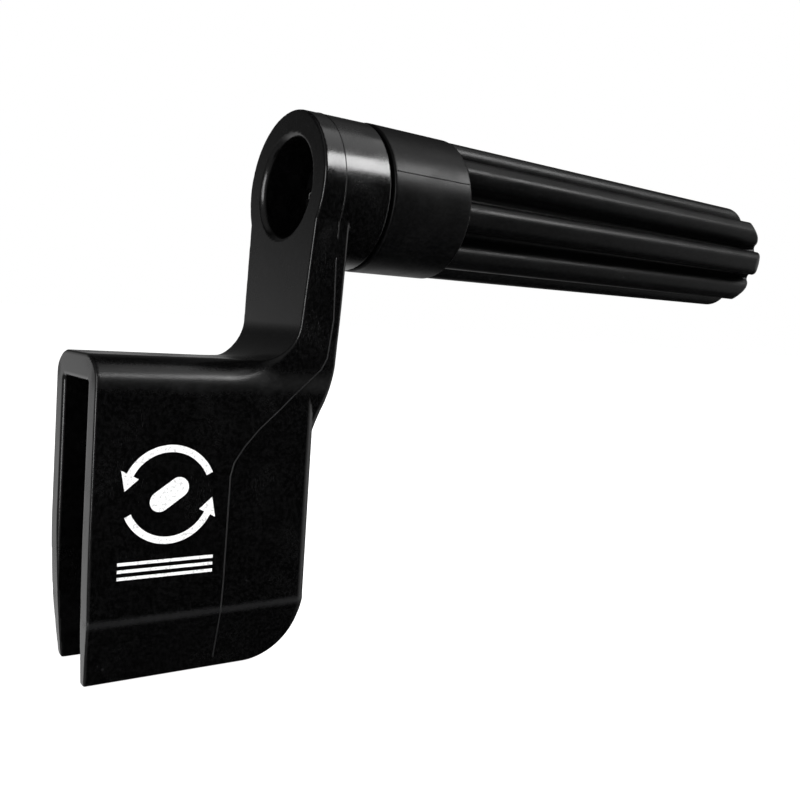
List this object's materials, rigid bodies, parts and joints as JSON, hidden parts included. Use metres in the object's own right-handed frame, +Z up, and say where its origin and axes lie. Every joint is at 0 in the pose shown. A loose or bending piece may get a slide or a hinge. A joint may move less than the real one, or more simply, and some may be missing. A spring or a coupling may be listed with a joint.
{
  "type": "string winder",
  "caption": "Plastic crank with a slotted socket that fits over a tuning button, and a tapered ribbed grip that spins freely on the hub.",
  "frame": {"origin": "under the middle of the whole object, level with the foot of the socket", "axes": "+X along the spin axis from the hub towards the grip's far end, +Z up from the socket's foot to the hub, Y across the socket"},
  "size_m": [0.1138, 0.019, 0.0667],
  "materials": {
    "crank_plastic": "satin moulded black",
    "grip_plastic": "satin moulded black",
    "spindle_plastic": "plain black acetal"
  },
  "bodies": {
    "crank": {"crank_body": "crank_plastic"},
    "handle": {"handle_grip": "grip_plastic", "spindle": "spindle_plastic"}
  },
  "joints": [
    {"name": "grip_spin", "type": "hinge", "parent": "crank", "child": "handle", "pos_m": [-0.0225, 0, 0.0572], "axis": [1, 0, 0], "continuous": true}
  ]
}
